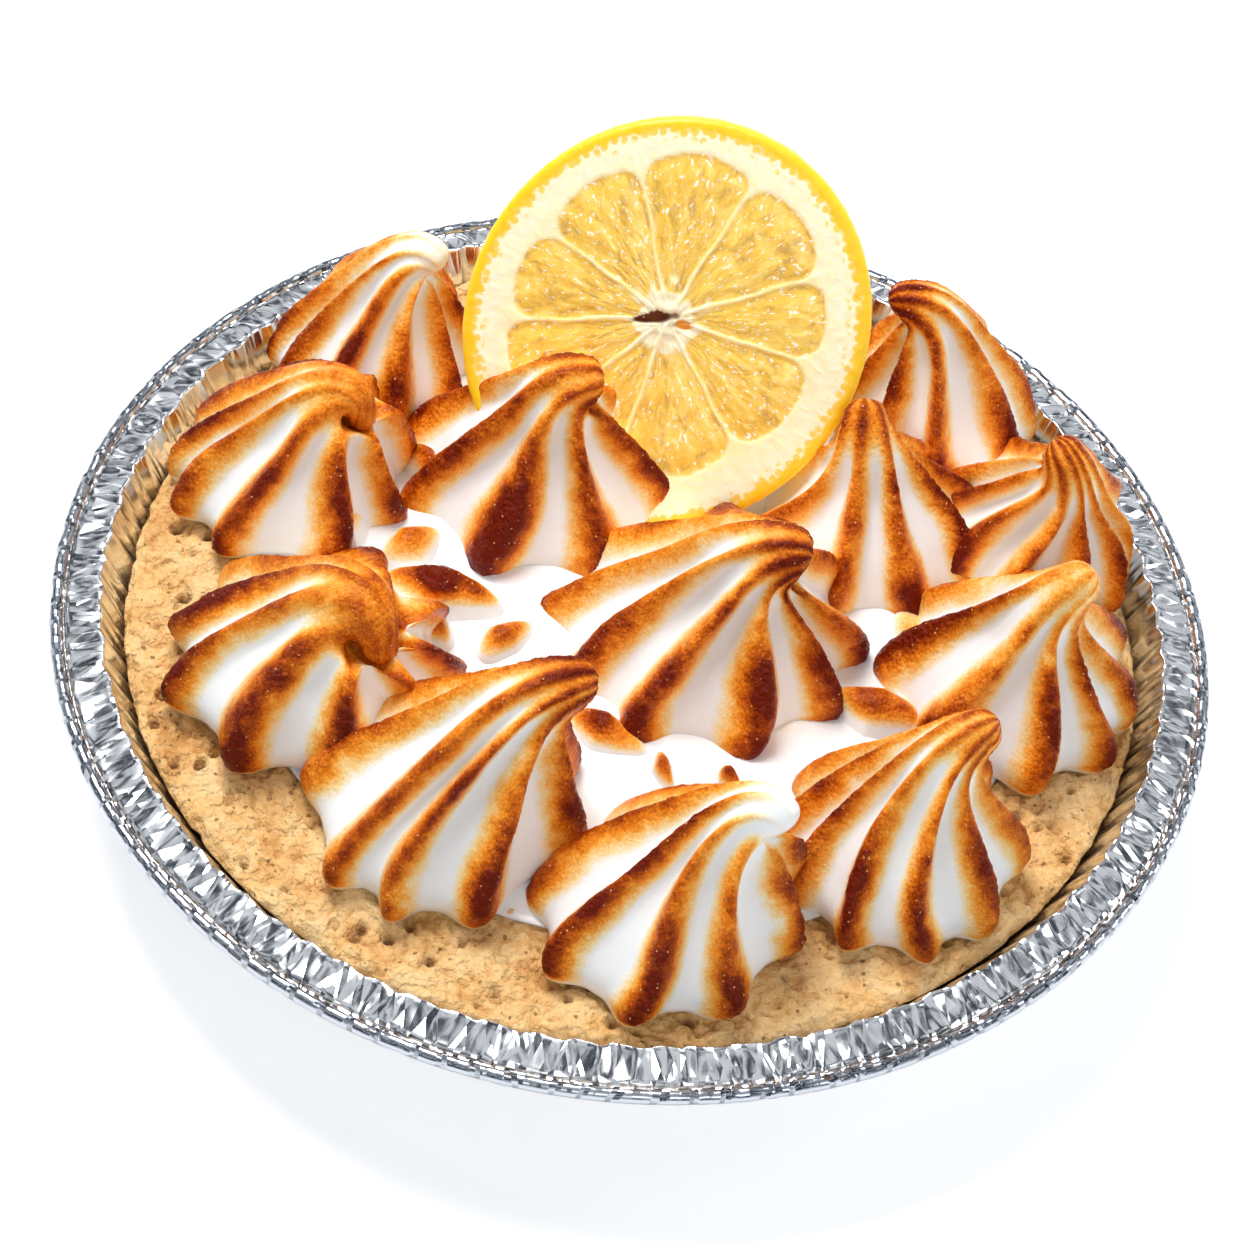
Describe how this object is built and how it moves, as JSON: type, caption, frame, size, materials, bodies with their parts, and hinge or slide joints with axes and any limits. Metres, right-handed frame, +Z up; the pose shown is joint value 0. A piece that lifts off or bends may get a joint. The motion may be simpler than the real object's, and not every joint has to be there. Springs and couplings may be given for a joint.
{
  "type": "lemon meringue pie in a foil tin",
  "caption": "Round lemon meringue pie in a fluted foil tin: a baked crust, toasted piped meringue swirls, and a round lemon slice stuck upright in the top.",
  "frame": {"origin": "middle of the tin's base, on the surface that it stands on", "axes": "+Z up; -Y is the front, the side that the lemon slice faces; +X to the right seen from the front"},
  "size_m": [0.203, 0.203, 0.0894],
  "materials": {
    "foil": "bright, crimped",
    "crust": "matt, baked",
    "meringue": "smooth, toasted brown on the ridges",
    "lemon": "moist"
  },
  "bodies": {
    "root": {"foil_pan": "foil", "crust": "crust", "meringue": "meringue", "lemon_slice": "lemon"}
  },
  "joints": []
}
